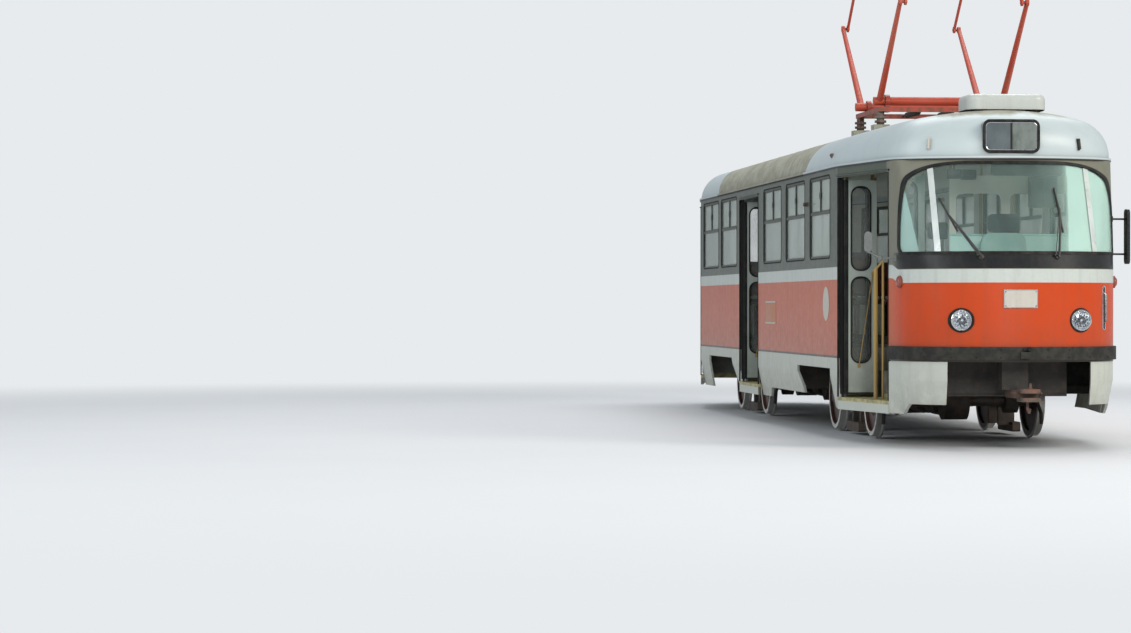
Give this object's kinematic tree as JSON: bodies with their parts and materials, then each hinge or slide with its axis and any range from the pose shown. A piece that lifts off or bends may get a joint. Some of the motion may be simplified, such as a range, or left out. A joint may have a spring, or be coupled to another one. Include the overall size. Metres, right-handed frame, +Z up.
{
  "type": "tram",
  "caption": "Single tram car with tapered rounded ends, folding doors on its right side, swivelling bogies and a raised diamond pantograph on its roof.",
  "frame": {"origin": "middle of the tram in plan, level with the lowest point of the wheel flanges", "axes": "+X to the front (driving end), +Y to the left side, +Z up"},
  "size_m": [14.54, 2.54, 5.2605],
  "materials": {
    "axle_steel": "greasy",
    "body_paint": "semi-gloss, weathered",
    "bogie": "dusty",
    "brake_iron": "rusty",
    "bumper_rubber": "matte",
    "chassis": "dusty",
    "collector": "worn",
    "coupler_iron": "rusty",
    "desk": "matte",
    "door_paint": "satin",
    "driver_fabric": "woven",
    "equipment": "dusty",
    "floor_covering": "matte",
    "handrail": "worn",
    "lamp": "ribbed",
    "mirror_plastic": "matte",
    "motor": "dusty",
    "pantograph_base": "rusty",
    "pantograph_paint": "weathered",
    "partition": "satin",
    "roof_paint": "weathered",
    "route_box": "glossy",
    "screen_glass": "clear, slightly green",
    "screen_seal": "matte",
    "seam_strip": "satin",
    "seat_cover": "worn",
    "side_glass": "dusty",
    "skirt_paint": "dirty",
    "step_paint": "worn",
    "tail_lamp": "ribbed",
    "vent_housing": "smooth",
    "wheel_steel": "rolling faces bright",
    "window_frame": "painted grey"
  },
  "bodies": {
    "root": {"bumpers": "bumper_rubber", "cab_partition": "partition", "cab_vent": "vent_housing", "couplers": "coupler_iron", "destination_boxes": "route_box", "driver_desk": "desk", "driver_seat": "driver_fabric", "end_front": "body_paint", "end_rear": "body_paint", "end_skirts": "skirt_paint", "equipment_boxes": "equipment", "floor": "floor_covering", "handrails": "handrail", "headlamps": "lamp", "mirrors": "mirror_plastic", "pantograph_base": "pantograph_base", "passenger_seats": "seat_cover", "roof": "roof_paint", "screen_seals": "screen_seal", "screen_strips": "seam_strip", "side_glass": "side_glass", "side_left": "body_paint", "side_right": "body_paint", "skirts": "skirt_paint", "steps": "step_paint", "tail_lamps": "tail_lamp", "underframe": "chassis", "window_frames": "window_frame", "windscreens": "screen_glass"},
    "arm_lower_front": {"arm_lower_front": "pantograph_paint"},
    "arm_lower_rear": {"arm_lower_rear": "pantograph_paint"},
    "arm_upper_front": {"arm_upper_front": "pantograph_paint"},
    "arm_upper_rear": {"arm_upper_rear": "pantograph_paint"},
    "wheelset_1": {"axle_1": "axle_steel", "wheels_1": "wheel_steel"},
    "wheelset_2": {"axle_2": "axle_steel", "wheels_2": "wheel_steel"},
    "wheelset_3": {"axle_3": "axle_steel", "wheels_3": "wheel_steel"},
    "wheelset_4": {"axle_4": "axle_steel", "wheels_4": "wheel_steel"},
    "bogie_front": {"bogie_frame_front": "bogie", "motors_front": "motor", "rail_brakes_front": "brake_iron"},
    "bogie_rear": {"bogie_frame_rear": "bogie", "motors_rear": "motor", "rail_brakes_rear": "brake_iron"},
    "collector_head": {"collector_head": "collector"},
    "door_1_front_a": {"door_1_front_a": "door_paint"},
    "door_1_front_b": {"door_1_front_b": "door_paint"},
    "door_1_rear_a": {"door_1_rear_a": "door_paint"},
    "door_1_rear_b": {"door_1_rear_b": "door_paint"},
    "door_2_front_a": {"door_2_front_a": "door_paint"},
    "door_2_front_b": {"door_2_front_b": "door_paint"},
    "door_2_rear_a": {"door_2_rear_a": "door_paint"},
    "door_2_rear_b": {"door_2_rear_b": "door_paint"},
    "door_3_front_a": {"door_3_front_a": "door_paint"},
    "door_3_front_b": {"door_3_front_b": "door_paint"},
    "door_3_rear_a": {"door_3_rear_a": "door_paint"},
    "door_3_rear_b": {"door_3_rear_b": "door_paint"}
  },
  "joints": [
    {"name": "bogie_front_turn", "type": "hinge", "parent": "root", "child": "bogie_front", "pos_m": [3.2, 0, 0.552], "axis": [0, 0, 1], "range_deg": [-10, 10]},
    {"name": "bogie_rear_turn", "type": "hinge", "parent": "root", "child": "bogie_rear", "pos_m": [-3.2, 0, 0.552], "axis": [0, 0, 1], "range_deg": [-10, 10]},
    {"name": "axle_1_turn", "type": "hinge", "parent": "bogie_front", "child": "wheelset_1", "pos_m": [4.15, 0, 0.372], "axis": [0, 1, 0], "continuous": true},
    {"name": "axle_2_turn", "type": "hinge", "parent": "bogie_front", "child": "wheelset_2", "pos_m": [2.25, 0, 0.372], "axis": [0, 1, 0], "continuous": true},
    {"name": "axle_3_turn", "type": "hinge", "parent": "bogie_rear", "child": "wheelset_3", "pos_m": [-2.25, 0, 0.372], "axis": [0, 1, 0], "continuous": true},
    {"name": "axle_4_turn", "type": "hinge", "parent": "bogie_rear", "child": "wheelset_4", "pos_m": [-4.15, 0, 0.372], "axis": [0, 1, 0], "continuous": true},
    {"name": "door_1", "type": "hinge", "parent": "root", "child": "door_1_rear_a", "pos_m": [4.73005, -1.20455, 0.452], "axis": [0, 0, -1], "range_deg": [0, 90]},
    {"name": "door_1_rear_fold", "type": "hinge", "parent": "door_1_rear_a", "child": "door_1_rear_b", "pos_m": [4.70334, -0.88365, 0.452], "axis": [0, 0, 1], "range_deg": [0, 180]},
    {"name": "door_1_front", "type": "hinge", "parent": "root", "child": "door_1_front_a", "pos_m": [6.01296, -0.99446, 0.452], "axis": [0, 0, 1], "range_deg": [0, 90]},
    {"name": "door_1_front_fold", "type": "hinge", "parent": "door_1_front_a", "child": "door_1_front_b", "pos_m": [5.93592, -0.6818, 0.452], "axis": [0, 0, -1], "range_deg": [0, 180]},
    {"name": "door_2", "type": "hinge", "parent": "root", "child": "door_2_rear_a", "pos_m": [-1.45, -1.21, 0.452], "axis": [0, 0, -1], "range_deg": [0, 90]},
    {"name": "door_2_rear_fold", "type": "hinge", "parent": "door_2_rear_a", "child": "door_2_rear_b", "pos_m": [-1.4245, -0.889, 0.452], "axis": [0, 0, 1], "range_deg": [0, 180]},
    {"name": "door_2_front", "type": "hinge", "parent": "root", "child": "door_2_front_a", "pos_m": [-0.15, -1.21, 0.452], "axis": [0, 0, 1], "range_deg": [0, 90]},
    {"name": "door_2_front_fold", "type": "hinge", "parent": "door_2_front_a", "child": "door_2_front_b", "pos_m": [-0.1755, -0.889, 0.452], "axis": [0, 0, -1], "range_deg": [0, 180]},
    {"name": "door_3", "type": "hinge", "parent": "root", "child": "door_3_rear_a", "pos_m": [-6.01296, -0.99446, 0.452], "axis": [0, 0, -1], "range_deg": [0, 90]},
    {"name": "door_3_rear_fold", "type": "hinge", "parent": "door_3_rear_a", "child": "door_3_rear_b", "pos_m": [-5.93592, -0.6818, 0.452], "axis": [0, 0, 1], "range_deg": [0, 180]},
    {"name": "door_3_front", "type": "hinge", "parent": "root", "child": "door_3_front_a", "pos_m": [-4.73005, -1.20455, 0.452], "axis": [0, 0, 1], "range_deg": [0, 90]},
    {"name": "door_3_front_fold", "type": "hinge", "parent": "door_3_front_a", "child": "door_3_front_b", "pos_m": [-4.70334, -0.88365, 0.452], "axis": [0, 0, -1], "range_deg": [0, 180]},
    {"name": "pantograph", "type": "hinge", "parent": "root", "child": "arm_lower_front", "pos_m": [3.57, 0, 3.322], "axis": [0, 1, 0], "range_deg": [-20, 34]},
    {"name": "pantograph_rear", "type": "hinge", "parent": "root", "child": "arm_lower_rear", "pos_m": [2.63, 0, 3.322], "axis": [0, -1, 0], "range_deg": [-20, 34]},
    {"name": "pantograph_front_knee", "type": "hinge", "parent": "arm_lower_front", "child": "arm_upper_front", "pos_m": [4.58576, 0, 4.21123], "axis": [0, -1, 0], "range_deg": [-40, 68]},
    {"name": "pantograph_rear_knee", "type": "hinge", "parent": "arm_lower_rear", "child": "arm_upper_rear", "pos_m": [1.61424, 0, 4.21123], "axis": [0, 1, 0], "range_deg": [-40, 68]},
    {"name": "pantograph_head", "type": "hinge", "parent": "arm_upper_front", "child": "collector_head", "pos_m": [3.57, 0, 5.10046], "axis": [0, 1, 0], "range_deg": [-20, 34]}
  ],
  "couplings": [
    {"joint": "door_1_rear_fold", "follows": "door_1", "ratio": 2},
    {"joint": "door_1_front", "follows": "door_1", "ratio": 1},
    {"joint": "door_1_front_fold", "follows": "door_1", "ratio": 2},
    {"joint": "door_2_rear_fold", "follows": "door_2", "ratio": 2},
    {"joint": "door_2_front", "follows": "door_2", "ratio": 1},
    {"joint": "door_2_front_fold", "follows": "door_2", "ratio": 2},
    {"joint": "door_3_rear_fold", "follows": "door_3", "ratio": 2},
    {"joint": "door_3_front", "follows": "door_3", "ratio": 1},
    {"joint": "door_3_front_fold", "follows": "door_3", "ratio": 2},
    {"joint": "pantograph_rear", "follows": "pantograph", "ratio": 1},
    {"joint": "pantograph_front_knee", "follows": "pantograph", "ratio": 2},
    {"joint": "pantograph_rear_knee", "follows": "pantograph", "ratio": 2},
    {"joint": "pantograph_head", "follows": "pantograph", "ratio": 1}
  ]
}
